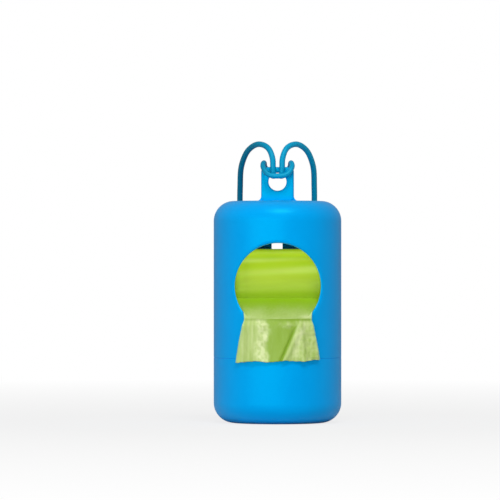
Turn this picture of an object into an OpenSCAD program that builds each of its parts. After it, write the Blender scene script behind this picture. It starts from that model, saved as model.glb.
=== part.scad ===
// Dispenser for dog waste bags: a round two-part case that holds one roll of bags across it.
// The roll turns behind a round window, and the next bag hangs out over the window's sill.
// Millimetres. +Z is up, -Y is the window side, and the origin is the middle of the flat base.

/* [Roll of bags] */
// Diameter of a full roll
roll_d = 28; // [24:0.5:30]
// Length of the roll, which is the folded width of its film
roll_l = 35; // [32:0.5:40]
// Height of the roll's axis above the base
roll_h = 55.5; // [53:0.5:60]
// Outer diameter of the cardboard core
core_d = 14.6; // [13:0.2:17]
// Wall of the cardboard core
core_wall = 1.3; // [0.8:0.1:1.6]

/* [Case] */
// Free space between the corners of the roll and the bore of the case
roll_clear = 1.5; // [1:0.1:3]
// Wall of both halves of the case
wall = 1.6; // [1.4:0.1:2.6]
// Height of the case without its tab
case_h = 88.6; // [84:0.2:104]
// Radius of the rounded top and bottom edges of the case
edge_r = 8; // [5:0.5:11]
// Height of the joint line between the two halves
seam_h = 26; // [20:0.5:29]
// Bevel on each lip, which shows as a fine line where the halves meet
lip_bevel = 0.15; // [0.1:0.05:0.5]

/* [Window and slot] */
// Diameter of the round window
window_d = 34; // [30:0.5:36]
// Radius of the rounding round the window's outer edge
rim_r = 1.2; // [0.6:0.1:1.4]
// How far the window's middle lies below the roll's axis
window_drop = 0.8; // [0:0.1:2]
// Width of the slot in the back
slot_w = 4.4; // [4.2:0.1:6]
// Height of the slot, round ends included
slot_h = 20; // [14:0.5:22]
// How far the slot's middle lies above the top of the roll
slot_rise = 0.5; // [-2:0.5:2]

/* [Tab] */
// Width of the tab
tab_w = 13.1; // [12:0.1:16]
// Thickness of the tab from front to back
tab_t = 4; // [3:0.1:5]
// Height of the tab above the case
tab_h = 13.6; // [12.5:0.1:16]
// Radius of the tab's two top corners
tab_corner_r = 2; // [1.5:0.1:3]
// Radius that softens the tab's edges
tab_edge_r = 0.9; // [0.5:0.1:1.2]
// Radius of the fillets where the tab meets the case
tab_fillet_r = 2; // [1:0.1:3]
// Diameter of the cord hole
eye_d = 7.2; // [6.6:0.1:8]
// Material left above the cord hole
eye_bar = 2.3; // [1.8:0.1:3]
// Bevel round both mouths of the cord hole
eye_bevel = 0.5; // [0.2:0.1:0.8]

/* [Roll carrier] */
// Sliding clearance between the carrier and the case
slide_gap = 0.3; // [0.25:0.05:0.5]
// Wall of the carrier
carrier_wall = 1.6; // [1.2:0.1:2]
// How far the carrier's sleeve stands up inside the upper half
sleeve_up = 8; // [5:0.5:9]
// Height of the ledge inside the lower half that the sleeve stands on
ledge_h = 4; // [2:0.5:5]
// Width of each upright arm
arm_w = 14; // [12:0.5:16]
// Radius of the fillets at the foot of each arm
arm_fillet_r = 3; // [1:0.5:4]
// Diameter of the bearing boss on each arm
boss_d = 11; // [9:0.5:12]
// Width of the guide key at the back of the sleeve
key_w = 2; // [1.5:0.1:3]
// How far the guide key stands out of the sleeve
key_out = 0.9; // [0.6:0.1:1]

/* [Spindle] */
// Clearance between the spindle and the cardboard core
core_gap = 0.3; // [0.2:0.05:0.6]
// Diameter of the spindle's journals
journal_d = 5; // [4:0.1:6]
// Clearance round a journal in its seat
seat_gap = 0.05; // [0.03:0.01:0.1]
// How much narrower than the journal the snap throat is
throat_pinch = 0.6; // [0.3:0.1:0.8]
// Free play of the roll between the two bosses, on each side
end_play = 0.6; // [0.4:0.1:1]
// Bevel on the spindle's edges
spindle_bevel = 0.4; // [0.2:0.1:0.6]

/* [Leading bag] */
// Thickness of the folded, creased film
film_t = 0.8; // [0.5:0.1:1.2]
// Gap between the hanging film and the case
film_gap = 0.35; // [0.3:0.05:0.6]
// Width of the film where it folds over the sill
film_top_w = 27; // [24:0.2:30]
// Width of the film at its torn lower edge
film_low_w = 32.6; // [28:0.2:36]
// Length of film that hangs down in front
film_drop = 17.4; // [12:0.2:22]
// Width of the film where it leaves the roll
film_roll_w = 29; // [24:0.2:31]
// How far below the roll's axis the film leaves the roll
film_peel = 6; // [4:0.5:8]

/* [Wrist cord] */
// Diameter of the cord
cord_d = 2.1; // [1.8:0.1:2.2]
// Diameter of the ferrule that joins the cord's ends
ferrule_d = 3.8; // [3.2:0.1:4.2]
// Length of the ferrule
ferrule_l = 10; // [8:0.5:12]

/* [Hidden] */
$fn = 96;

// A margin by which cutting shapes run past what they cut
past = 1;

// The case is sized round the roll, which lies across it and has to turn in it.
bore_r = norm([roll_l, roll_d]) / 2 + roll_clear;
case_r = bore_r + wall;
window_z = roll_h - window_drop;
roll_top = roll_h + roll_d / 2;
roll_low = roll_h - roll_d / 2;
slot_z = roll_top + slot_rise;
eye_z = case_h + tab_h - eye_bar - eye_d / 2;

// The carrier's sleeve plugs into both halves, and its arms stand beside the roll.
sleeve_r = bore_r - slide_gap;
sleeve_top = seam_h + sleeve_up;
sleeve_low = edge_r + ledge_h;
boss_face = roll_l / 2 + end_play;
journal_end = sleeve_r - slide_gap;
journal_r = journal_d / 2;
seat_r = journal_r + seat_gap;
core_bore_r = core_d / 2 - core_wall;
spindle_r = core_bore_r - core_gap;
spindle_half = roll_l / 2 + end_play / 2;

// The film leaves the roll's front, slopes out through the window and folds down over its sill.
// Where it passes through the window, it is as wide as the window is at that height.
film_in_r = case_r + film_gap;
film_out_r = film_in_r + film_t;
film_fold_z = roll_low + film_t / 2;
film_low = film_fold_z - film_drop;
film_pass_z = film_fold_z + film_t;
film_pass_half = sqrt(pow(window_d / 2 - film_gap, 2) - pow(window_z - film_pass_z, 2));
film_peel_z = roll_h - film_peel;
film_peel_y = -roll_d / 2 - 2 * slide_gap;
FILM_STEPS = 16;

// How finely the rounded rim of the window is cut: round the window, and across the rounding
RIM_STEPS = 96;
RIM_FACETS = 3;

// The cord's route from the ferrule to the middle of the hitch, on the right side. The left side
// mirrors it. From the end: the bight across the front, over the tab, through the hole from
// behind, up in front, over in an arc, and down behind the case to the ferrule.
CORD_SIDE = [
    [ferrule_l / 2, 28.2, 31], [8.8, 28.2, 31], [14.6, 23.8, 42], [14.9, 23.4, 62], [15, 22.4, 82],
    [15, 19.2, 94], [14.2, 13.4, 103.8], [11.4, 8.2, 109.4], [7.4, 3.2, 111.4],
    [3.5, -1.2, 109.4], [2, -3.2, 105.5], [1.8, -3.6, 101.5], [1.6, -3, 98.9],
    [1.2, 0, 98.8], [2.2, 3.3, 98.9], [4.8, 3.8, 101.7], [5.4, 0.3, 103.8], [5.7, -3.4, 102],
    [3.6, -5.5, 99.1]
];
CORD_MIDDLE = [0, -5.8, 98.5];
CORD_STEPS = 2;
CORD_SIDES = 8;

function mirrored(p) = [-p.x, p.y, p.z];
cord_route = concat(
    CORD_SIDE, [CORD_MIDDLE], [for (i = [len(CORD_SIDE) - 1:-1:0]) mirrored(CORD_SIDE[i])]
);

// A profile in the XZ plane of a solid whose upper outer edge is rounded
module domed_profile(r, h, edge) {
    square([r, h - edge]);
    square([r - edge, h]);
    translate([r - edge, h - edge]) circle(edge);
}

// What is cut from a lip at height 0 to bevel its outer corner
module lip_cut() {
    polygon([
        [case_r - lip_bevel, 0], [case_r, lip_bevel], [case_r + past, lip_bevel],
        [case_r + past, -past], [case_r - lip_bevel, -past]
    ]);
}

// The wall of half a case, standing on its lip with the rounded end up
module half_case(h) {
    rotate_extrude() difference() {
        domed_profile(case_r, h, edge_r);
        translate([0, -past]) domed_profile(bore_r, h - wall + past, edge_r - wall);
        lip_cut();
    }
}

// A disc across Y with rounded rims, for rounding the tab's outline and edges
module soft_disc(r, t, edge) {
    rotate([90, 0, 0]) rotate_extrude($fn = 32) {
        translate([0, -t / 2]) square([r - edge, t]);
        translate([0, edge - t / 2]) square([r, t - 2 * edge]);
        for (side = [-1, 1]) translate([r - edge, side * (t / 2 - edge)]) circle(edge, $fn = 32);
    }
}

// The tab that the cord is hitched to, with fillets at its foot
module tab() {
    corner_x = tab_w / 2 - tab_corner_r;
    low_z = case_h - wall / 2 + tab_corner_r;
    high_z = case_h + tab_h - tab_corner_r;
    difference() {
        union() {
            hull() for (x = [-corner_x, corner_x], z = [low_z, high_z])
                translate([x, 0, z]) soft_disc(tab_corner_r, tab_t, tab_edge_r);
            tab_foot();
        }
        eye_cut();
    }
}

// The concave fillets on both sides of the tab
module tab_foot() {
    foot_half = tab_w / 2 + tab_fillet_r;
    foot_t = tab_t - tab_edge_r;
    translate([0, foot_t / 2, case_h]) rotate([90, 0, 0]) linear_extrude(foot_t) difference() {
        translate([-foot_half, -wall / 2]) square([2 * foot_half, tab_fillet_r + wall / 2]);
        for (x = [-foot_half, foot_half]) translate([x, tab_fillet_r]) circle(tab_fillet_r);
    }
}

// The cord hole with a bevel at each mouth
module eye_cut() {
    mouth = eye_bevel + past;
    translate([0, 0, eye_z]) rotate([90, 0, 0]) {
        cylinder(d = eye_d, h = tab_t + 2 * past, center = true);
        for (flip = [0, 180]) rotate([flip, 0, 0]) translate([0, 0, tab_t / 2 - eye_bevel])
            cylinder(r1 = eye_d / 2, r2 = eye_d / 2 + mouth, h = mouth);
    }
}

// The round window in the front wall
module window_cut() {
    translate([0, 0, window_z]) rotate([90, 0, 0]) cylinder(d = window_d, h = case_r + past);
}

// A point of the rim's rounded section, u from 0 on the hole's wall to 1 on the case's surface.
// The section stands in the plane through the window's middle line at the given angle.
function rim_point(angle, u) =
    let (inner = window_d / 2, outer = window_d / 2 + rim_r)
    let (corner = [inner, rim_surface(angle, inner)])
    let (deep = corner + [0, rim_r], out = [outer, rim_surface(angle, outer)])
    deep * pow(1 - u, 2) + corner * 2 * u * (1 - u) + out * u * u;

// How far back the case's surface lies at a distance from the window's middle line
function rim_surface(angle, reach) = -sqrt(case_r * case_r - pow(reach * cos(angle), 2));

// The rim's section for cutting: its rounded side runs on past the wall at both ends
function rim_section(angle) =
    let (side = [for (k = [0:RIM_FACETS]) rim_point(angle, k / RIM_FACETS)])
    let (deep = side[0] * 1.3 - side[1] * 0.3)
    let (out = side[RIM_FACETS] * 1.3 - side[RIM_FACETS - 1] * 0.3)
    let (front = -case_r - past, middle = window_d / 2 - past)
    concat(
        [deep], [for (k = [1:RIM_FACETS - 1]) side[k]],
        [out, [out.x, front], [middle, front], [middle, deep.y]]
    );

// A ring with that section all round the window, which rounds off its outer edge
module rim_cut() {
    sides = len(rim_section(0));
    points = [
        for (i = [0:RIM_STEPS - 1])
            let (angle = 360 * i / RIM_STEPS)
            for (p = rim_section(angle)) [p.x * cos(angle), p.y, window_z + p.x * sin(angle)]
    ];
    faces = [
        for (i = [0:RIM_STEPS - 1], k = [0:sides - 1])
            let (a = i * sides, b = (i + 1) % RIM_STEPS * sides, next = (k + 1) % sides)
            [a + k, a + next, b + next, b + k]
    ];
    polyhedron(points = points, faces = faces, convexity = 4);
}

// The slot with round ends in the back wall
module slot_cut() {
    reach = case_r + past - bore_r / 2;
    straight = slot_h - slot_w;
    translate([0, case_r + past, slot_z]) rotate([90, 0, 0]) {
        translate([-slot_w / 2, -straight / 2, 0]) cube([slot_w, straight, reach]);
        for (z = [-straight / 2, straight / 2]) translate([0, z, 0]) cylinder(d = slot_w, h = reach);
    }
}

// The groove that the carrier's key slides in, open at the lip
module keyway_cut() {
    w = key_w + 2 * slide_gap;
    translate([-w / 2, bore_r - past, seam_h - past])
        cube([w, past + key_out, sleeve_up + past + slide_gap]);
}

module housing_shell() {
    color("deepskyblue") {
        difference() {
            translate([0, 0, seam_h]) half_case(case_h - seam_h);
            window_cut();
            rim_cut();
            slot_cut();
            keyway_cut();
        }
        tab();
    }
}

// The lower half: the same wall, with a ledge inside that the carrier stands on
module base_cap() {
    color("deepskyblue") {
        translate([0, 0, seam_h]) mirror([0, 0, 1]) half_case(seam_h);
        ledge();
    }
}

// A rib round the inside of the lower half, flush with the carrier's bore above it
module ledge() {
    ledge_r = sleeve_r - carrier_wall;
    rotate_extrude() translate([ledge_r, edge_r])
        square([bore_r + wall / 2 - ledge_r, ledge_h]);
}

// The carrier: a sleeve with two arms, each with a boss that the spindle snaps into
module roll_carrier() {
    color("steelblue") difference() {
        union() {
            sleeve_ring(sleeve_low, sleeve_top);
            intersection() {
                sleeve_ring(sleeve_top - past, roll_h + arm_w);
                arm_outline();
            }
            for (side = [-1, 1]) boss(side);
            key();
        }
        seat_cut();
    }
}

module sleeve_ring(low, high) {
    rotate_extrude() translate([sleeve_r - carrier_wall, low]) square([carrier_wall, high - low]);
}

// Both arms seen along X: a round head about the roll's axis, straight sides and a filleted foot
module arm_outline() {
    foot_half = arm_w / 2 + arm_fillet_r;
    translate([-case_r, 0, 0]) rotate([90, 0, 90]) linear_extrude(2 * case_r) {
        translate([-arm_w / 2, sleeve_top - past]) square([arm_w, roll_h - sleeve_top + past]);
        translate([0, roll_h]) circle(d = arm_w);
        difference() {
            translate([-foot_half, sleeve_top - past]) square([2 * foot_half, arm_fillet_r + past]);
            for (y = [-foot_half, foot_half])
                translate([y, sleeve_top + arm_fillet_r]) circle(arm_fillet_r);
        }
    }
}

// A bearing boss that reaches in from its arm to the end of the roll
module boss(side) {
    boss_end = sqrt(pow(sleeve_r - carrier_wall / 4, 2) - pow(boss_d / 2, 2));
    translate([side * boss_face, 0, roll_h]) rotate([0, side * 90, 0])
        cylinder(d = boss_d, h = boss_end - boss_face);
}

// The key at the back keeps the window square to the roll
module key() {
    translate([-key_w / 2, sleeve_r - carrier_wall / 2, seam_h + slide_gap])
        cube([key_w, carrier_wall / 2 + key_out, sleeve_up - slide_gap]);
}

// The round seats, with a throat that a journal snaps past and a flared mouth above it
module seat_cut() {
    throat = journal_d - throat_pinch;
    mouth_z = (arm_w / 2 + seat_r) / 2;
    translate([-case_r, 0, roll_h]) rotate([90, 0, 90]) linear_extrude(2 * case_r) {
        circle(seat_r);
        polygon([
            [-throat / 2, 0], [throat / 2, 0], [throat / 2, mouth_z],
            [journal_d, arm_w / 2 + past], [-journal_d, arm_w / 2 + past], [-throat / 2, mouth_z]
        ]);
    }
}

// The spindle: a body that fills the core and a journal at each end
module roll_spindle() {
    b = spindle_bevel;
    half = [
        [spindle_r, spindle_half - b], [spindle_r - b, spindle_half], [journal_r, spindle_half],
        [journal_r, journal_end - b], [journal_r - b, journal_end], [0, journal_end]
    ];
    other_half = [for (i = [len(half) - 1:-1:0]) [half[i].x, -half[i].y]];
    color("white") translate([0, 0, roll_h]) rotate([0, 90, 0])
        rotate_extrude() polygon(concat(half, other_half));
}

module roll_core() {
    color("tan") tube_across(core_d / 2, core_bore_r, roll_l);
}

// The wound film, drawn as one solid round the core
module bag_roll() {
    color("yellowgreen") tube_across(roll_d / 2, core_d / 2, roll_l);
}

module tube_across(outer, inner, l) {
    translate([-l / 2, 0, roll_h]) rotate([0, 90, 0]) rotate_extrude()
        translate([inner, 0]) square([outer - inner, l]);
}

// The next bag: it slopes out from the roll's front, and hangs down round the front of the case
module leading_bag() {
    color("darkseagreen") {
        intersection() {
            rotate_extrude() translate([film_in_r, film_low - past])
                square([film_t, film_drop + film_t / 2 + past]);
            rotate([90, 0, 0]) linear_extrude(film_out_r + past) polygon([
                [-film_low_w / 2, film_low], [film_low_w / 2, film_low],
                [film_top_w / 2, film_fold_z + past], [-film_top_w / 2, film_fold_z + past]
            ]);
        }
        film_slope();
    }
}

// The sloping stretch: straight along the roll, and curved round the case where it folds down.
// Each section across it runs from the fold, which starts inside the hanging stretch, to the roll.
module film_slope() {
    fold_r = (film_in_r + film_out_r) / 2;
    points = [
        for (i = [0:FILM_STEPS])
            let (u = 2 * i / FILM_STEPS - 1, x = u * film_pass_half)
            let (fold = [x, -sqrt(fold_r * fold_r - x * x), film_fold_z - film_t / 4])
            let (peel = [u * film_roll_w / 2, film_peel_y, film_peel_z])
            let (up = [0, 0, film_t / 2])
            for (p = [fold - up, fold + up, peel + up, peel - up]) p
    ];
    walls = [
        for (i = [0:FILM_STEPS - 1], k = [0:3])
            let (a = 4 * i + k, b = 4 * i + (k + 1) % 4)
            [a, b, b + 4, a + 4]
    ];
    last = 4 * FILM_STEPS;
    ends = [[3, 2, 1, 0], [last, last + 1, last + 2, last + 3]];
    polyhedron(points = points, faces = concat(walls, ends), convexity = 4);
}

// Unit tangent at a point of the route, weighted so that near neighbours count more
function along(route, i) =
    let (last = len(route) - 1)
    let (a = i > 0 ? route[i] - route[i - 1] : route[1] - route[0])
    let (b = i < last ? route[i + 1] - route[i] : route[last] - route[last - 1])
    let (t = a / norm(a) * norm(b) + b / norm(b) * norm(a))
    t / norm(t);

// A point on the smooth curve between route point i and the next, with u from 0 to 1
function between(route, i, u) =
    let (a = route[i], b = route[i + 1], d = norm(b - a))
    let (ta = along(route, i) * d, tb = along(route, i + 1) * d)
    a * (2 * u * u * u - 3 * u * u + 1) + ta * (u * u * u - 2 * u * u + u)
    + b * (3 * u * u - 2 * u * u * u) + tb * (u * u * u - u * u);

function smooth(route, steps) = concat(
    [for (i = [0:len(route) - 2], k = [0:steps - 1]) between(route, i, k / steps)],
    [route[len(route) - 1]]
);

// The direction across the cord, turned from ring to ring without a twist
function across(last_across, t) =
    let (v = last_across - t * (last_across * t))
    v / norm(v);

// A tube of the given sides along a route. Its two ends face straight along the route's ends.
module tube_along(route, steps, d, sides) {
    points = smooth(route, steps);
    n = len(points);
    tangents = [
        for (i = [0:n - 1])
            i == 0 ? along(route, 0)
            : i == n - 1 ? along(route, len(route) - 1)
            : along(points, i)
    ];
    first = across([0, 0, 1], tangents[0]);
    normals = [for (i = 0, v = first; i < n; i = i + 1, v = i < n ? across(v, tangents[i]) : v) v];
    rings = [
        for (i = [0:n - 1], k = [0:sides - 1])
            let (side = cross(tangents[i], normals[i]), turn = 360 * k / sides)
            points[i] + (normals[i] * cos(turn) + side * sin(turn)) * d / 2
    ];
    walls = [
        for (i = [0:n - 2], k = [0:sides - 1])
            let (a = i * sides + k, b = i * sides + (k + 1) % sides)
            [b, a, a + sides, b + sides]
    ];
    ends = [[for (k = [0:sides - 1]) k], [for (k = [sides - 1:-1:0]) (n - 1) * sides + k]];
    polyhedron(points = rings, faces = concat(walls, ends), convexity = 10);
}

module lanyard_cord() {
    color("teal") tube_along(cord_route, CORD_STEPS, cord_d, CORD_SIDES);
}

// The ferrule lies across the bottom of the loop, with a cord end at each of its faces
module lanyard_ferrule() {
    end = CORD_SIDE[0];
    color("dimgray") translate([-ferrule_l / 2, end.y, end.z]) rotate([0, 90, 0])
        cylinder(d = ferrule_d, h = ferrule_l);
}

housing_shell();
base_cap();
roll_carrier();
roll_spindle();
roll_core();
bag_roll();
leading_bag();
lanyard_cord();
lanyard_ferrule();
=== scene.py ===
# %% [markdown]
# A dispenser for rolls of dog waste bags. A blue case in two halves holds one roll across it.
# The roll shows through a round window, the next bag hangs out over the window's sill, and a
# loop of rubber cord is hitched to a tab on top.
# The rigid pieces come ready made from the packed model and keep their shape. Blender gives
# them their finishes, and remakes the cord with its ferrule, the wound film and the loose
# film. Blender works in metres here, so a size in millimetres is written times MM.

# %% Load the packed model
import math
import bpy
import numpy as np
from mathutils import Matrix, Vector, noise


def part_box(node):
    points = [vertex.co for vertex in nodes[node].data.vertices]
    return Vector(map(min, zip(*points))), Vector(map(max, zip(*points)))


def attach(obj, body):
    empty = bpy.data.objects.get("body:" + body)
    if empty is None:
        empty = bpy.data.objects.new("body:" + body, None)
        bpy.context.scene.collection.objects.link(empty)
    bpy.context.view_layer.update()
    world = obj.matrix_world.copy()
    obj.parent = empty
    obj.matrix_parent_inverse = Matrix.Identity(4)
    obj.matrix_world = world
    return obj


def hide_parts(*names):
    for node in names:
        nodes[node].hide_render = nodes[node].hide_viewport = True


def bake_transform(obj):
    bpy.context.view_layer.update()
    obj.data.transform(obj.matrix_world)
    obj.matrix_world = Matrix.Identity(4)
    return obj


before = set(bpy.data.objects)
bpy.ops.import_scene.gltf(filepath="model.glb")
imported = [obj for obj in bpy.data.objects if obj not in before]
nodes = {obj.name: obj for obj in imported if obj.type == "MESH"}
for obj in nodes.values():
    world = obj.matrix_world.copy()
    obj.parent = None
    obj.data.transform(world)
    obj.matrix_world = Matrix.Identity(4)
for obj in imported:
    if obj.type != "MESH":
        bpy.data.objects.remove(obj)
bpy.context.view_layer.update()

MM = 0.001
scene = bpy.context.scene


print("nodes:", sorted(nodes))

# %% [markdown]
# The camera comes first, because it decides what shows. A product view like this one is taken
# from far away with a long lens, so that upright walls stay parallel and the case's rounded
# ends look level. A short lens close by would make the window look larger than it is. The case
# stands a little to the right of the view's middle.

# %% The camera
LENS = 300
SENSOR = 36
VIEW_WIDTH = 200 * MM
VIEW_MIDDLE = Vector((-11, 0, 69)) * MM

camera_settings = bpy.data.cameras.new("front_camera")
camera_settings.lens = LENS
camera_settings.sensor_width = SENSOR
camera = bpy.data.objects.new("front_camera", camera_settings)
camera_distance = VIEW_WIDTH * LENS / SENSOR
camera.location = VIEW_MIDDLE - Vector((0, camera_distance, 0))
camera.rotation_euler = (math.radians(90), 0, 0)
scene.collection.objects.link(camera)
scene.camera = camera
scene.view_settings.view_transform = "Standard"
print("camera distance in m:", round(camera_distance, 3))

# %% [markdown]
# Every piece that is made here is a grid: rows of points with the same number in each row.
# Faces join neighbours, and a grid may close on itself along its rows, its columns or both.
# One helper for that serves the cord, the roll and the film, and keeps stray faces out of
# them. A second helper turns points and faces into a piece and lets it ride on a body, so that
# it moves when that body does. A piece that is given no body rides on none.

# %% Grids of points become pieces
def grid_faces(rows, columns, close_rows=False, close_columns=False):
    faces = []
    for r in range(rows if close_rows else rows - 1):
        for c in range(columns if close_columns else columns - 1):
            after_r, after_c = (r + 1) % rows, (c + 1) % columns
            faces.append((
                r * columns + c, r * columns + after_c,
                after_r * columns + after_c, after_r * columns + c,
            ))
    return faces


def make_piece(name, points, faces, body):
    mesh = bpy.data.meshes.new(name)
    mesh.from_pydata([tuple(p) for p in np.asarray(points, float).reshape(-1, 3)], [], faces)
    mesh.update()
    for face in mesh.polygons:
        face.use_smooth = True
    piece = bpy.data.objects.new(name, mesh)
    scene.collection.objects.link(piece)
    if body:
        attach(piece, body)
    print(name, "has", len(mesh.vertices), "points and", len(faces), "faces")
    return piece


print("a grid of 3 by 4 points has", len(grid_faces(3, 4)), "faces")
print("closed both ways it has", len(grid_faces(3, 4, close_rows=True, close_columns=True)))

# %% [markdown]
# The cord is a loop of solid rubber, 2.1 mm thick. Both ends sit in a small ferrule behind the
# case. The loop goes up behind the case, over in two arcs, and is hitched round the top of
# the tab: through the hole, round the sides and across the front. Its two halves mirror each
# other, so the points are given for one half only, in millimetres, from the ferrule to the
# middle of the hitch.

# %% The points that the cord passes
CORD_WIDTH = 2.1 * MM
CORD_SIDE = [
    (5, 28.2, 31), (8.8, 28.2, 31), (14.6, 23.8, 42), (14.9, 23.4, 62), (15, 22.4, 82),
    (15, 19.2, 94), (14.2, 13.4, 103.8), (11.4, 8.2, 109.4), (7.4, 3.2, 111.4),
    (3.5, -1.2, 109.4), (2, -3.2, 105.5), (1.8, -3.6, 101.5), (1.6, -3, 98.9),
    (1.2, 0, 98.8), (2.2, 3.3, 98.9), (4.8, 3.8, 101.7), (5.4, 0.3, 103.8), (5.7, -3.4, 102),
    (3.6, -5.5, 99.1),
]
CORD_MIDDLE = (0, -5.8, 98.5)
other_side = [(-x, y, z) for x, y, z in reversed(CORD_SIDE)]
cord_route = np.array(CORD_SIDE + [CORD_MIDDLE] + other_side, float) * MM
print("the cord passes", len(cord_route), "points")

# %% [markdown]
# Straight lines between those points would give the cord corners. Instead, each stretch is a
# cubic curve, a Hermite curve, that leaves its first point and reaches its last one in a given
# direction, and two stretches that meet share the direction there. It leans towards the
# shorter of the two, which keeps the tight turns of the hitch round.

# %% A smooth line through the points
STEPS_PER_STRETCH = 7


def unit(vector):
    return vector / np.linalg.norm(vector)


def direction_at(route, i):
    back = route[max(i, 1)] - route[max(i, 1) - 1]
    on = route[min(i + 1, len(route) - 1)] - route[min(i, len(route) - 2)]
    return unit(unit(back) * np.linalg.norm(on) + unit(on) * np.linalg.norm(back))


def smooth_route(route, steps):
    points = []
    for i in range(len(route) - 1):
        a, b = route[i], route[i + 1]
        reach = np.linalg.norm(b - a)
        leave, arrive = direction_at(route, i) * reach, direction_at(route, i + 1) * reach
        for u in np.arange(steps) / steps:
            points.append(
                a * (2 * u**3 - 3 * u**2 + 1) + leave * (u**3 - 2 * u**2 + u)
                + b * (3 * u**2 - 2 * u**3) + arrive * (u**3 - u**2)
            )
    return np.array(points + [route[-1]])


cord_line = smooth_route(cord_route, STEPS_PER_STRETCH)
cord_steps = np.linalg.norm(np.diff(cord_line, axis=0), axis=1)
cord_length = float(cord_steps.sum())
print("cord length in mm:", round(cord_length / MM, 1))

# %% [markdown]
# The rubber is a tube round that line. A curve object with a bevel could draw one as well.
# Built ring by ring it is a mesh from the start, like the other pieces, and a plain function
# sets its thickness: where the hitch pulls the rubber tight it is a little thinner than in the
# loose loop. Each ring starts from the sideways direction of the ring before it, so that the
# tube doesn't twist.

# %% The cord
CORD_SIDES = 20
TIGHT_REACH = 16 * MM
SLACK_SWELLING = 0.09


def tube_rings(line, radius_at, sides):
    last = len(line) - 1
    ahead = [unit(line[min(i + 1, last)] - line[max(i - 1, 0)]) for i in range(len(line))]
    turns = np.arange(sides) * 2 * math.pi / sides
    side = unit(np.cross(ahead[0], (0, 0, 1)))
    rings = []
    for i, point in enumerate(line):
        side = unit(side - ahead[i] * np.dot(side, ahead[i]))
        over = np.cross(ahead[i], side)
        rings.append([
            point + (side * math.cos(t) + over * math.sin(t)) * radius_at(i) for t in turns
        ])
    return np.array(rings)


def tube_faces(rings):
    count, sides = rings.shape[:2]
    first_end = tuple(reversed(range(sides)))
    last_end = tuple(range((count - 1) * sides, count * sides))
    return grid_faces(count, sides, close_columns=True) + [first_end, last_end]


cord_ways = np.concatenate([[0], np.cumsum(cord_steps)])


def cord_radius(i):
    slack = min(1, abs(cord_ways[i] - cord_length / 2) / TIGHT_REACH)
    return CORD_WIDTH / 2 * (1 + SLACK_SWELLING * slack**2)


cord_rings = tube_rings(cord_line, cord_radius, CORD_SIDES)
wrist_cord = make_piece("wrist_cord", cord_rings, tube_faces(cord_rings), "housing")
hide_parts("lanyard_cord")

# %% [markdown]
# The ferrule is a short sleeve over both ends of the cord. It is out of sight behind the case,
# so it is made the way that such sleeves often are, with rounded ends and two shallow waists
# where a tool presses them. Its radius is written as a function of the way along it, and the
# same ring maker turns that into a solid.

# %% The ferrule
FERRULE_LENGTH = 10 * MM
FERRULE_WIDTH = 3.8 * MM
FERRULE_STEPS = 60
FERRULE_SIDES = 32
END_ROUNDING = 0.12
END_SHARE = 0.72
ROUNDED_SHARE = 0.28
WAIST_PLACES = (0.33, 0.67)
WAIST_REACH = 0.07
WAIST_DEPTH = 0.2 * MM


def ferrule_radius(u):
    edge = min(u, 1 - u) / END_ROUNDING
    bulge = math.sqrt(max(0, 1 - (1 - min(edge, 1)) ** 2))
    waist = sum(math.exp(-(((u - place) / WAIST_REACH) ** 2)) for place in WAIST_PLACES)
    return (FERRULE_WIDTH / 2) * (END_SHARE + ROUNDED_SHARE * bulge) - WAIST_DEPTH * waist


ferrule_middle = np.array([0, CORD_SIDE[0][1], CORD_SIDE[0][2]]) * MM
ferrule_line = np.array([
    ferrule_middle + (FERRULE_LENGTH * (i / FERRULE_STEPS - 0.5), 0, 0)
    for i in range(FERRULE_STEPS + 1)
])
ferrule_rings = tube_rings(
    ferrule_line, lambda i: ferrule_radius(i / FERRULE_STEPS), FERRULE_SIDES
)
cord_ferrule = make_piece(
    "cord_ferrule", ferrule_rings, tube_faces(ferrule_rings), "housing"
)
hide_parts("lanyard_ferrule")

# %% [markdown]
# A mesh doesn't tell anyone that it is a cord. Here the point where it leaves its ferrule is
# printed.

# %% The cord's facts
print("the cord leaves its ferrule at", [round(float(c) / MM, 1) for c in cord_line[0]])

# %% [markdown]
# The roll is one long strip of film, wound flat on a cardboard core. Its surface isn't a clean
# cylinder: each turn's edge leaves a low ridge that runs along the roll at a slight tilt, the
# turns lie a little unevenly, and the right end is wound a touch fuller. The radius is a sum
# of those small effects, so that the ridges catch the light as real ones do.

# %% The wound film's radius
roll_low, roll_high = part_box("bag_roll")
roll_axis_z = (roll_low.z + roll_high.z) / 2
roll_radius = (roll_high.z - roll_low.z) / 2
roll_half = (roll_high.x - roll_low.x) / 2
FULLER_BY = 0.08
BROAD_UNEVEN = 0.12
FINE_UNEVEN = 0.02

# Each ridge: how high above the axis it lies at the roll's middle, the degrees that it climbs
# from there to the right end, its width, the share of its height that it gains on that way,
# and that height. Lengths are in mm.
RIDGES = (
    (9.7, 2.6, 1.1, -0.9, 0.06),
    (5.1, 4.2, 1.5, 0.5, 0.08),
    (-1.9, 2.0, 1.3, 0, 0.02),
    (12.5, 2.6, 1.0, 0.4, 0.03),
)


def ridge_share(angle, x, lift, climb, width, gain):
    start = math.asin(lift / (roll_radius / MM)) + math.radians(climb) * x / roll_half
    away = (angle - start + math.pi) % (2 * math.pi) - math.pi
    across = math.exp(-((away * roll_radius / MM / width) ** 2))
    return across * (1 + gain * x / roll_half)


def wound_radius(angle, x):
    # angle 0 faces the window, and a quarter turn is the top
    ridges = sum(height * ridge_share(angle, x, *shape) for *shape, height in RIDGES)
    # the noise is read on a cylinder, so that it has no seam round the roll
    place = Vector((x / MM * 0.05, math.cos(angle) * 2.2, math.sin(angle) * 2.2))
    uneven = noise.noise(place * 1.1) * BROAD_UNEVEN + noise.noise(place * 3.1) * FINE_UNEVEN
    fuller = FULLER_BY * x / roll_half
    return roll_radius + (ridges + uneven + fuller - FULLER_BY) * MM


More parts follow.
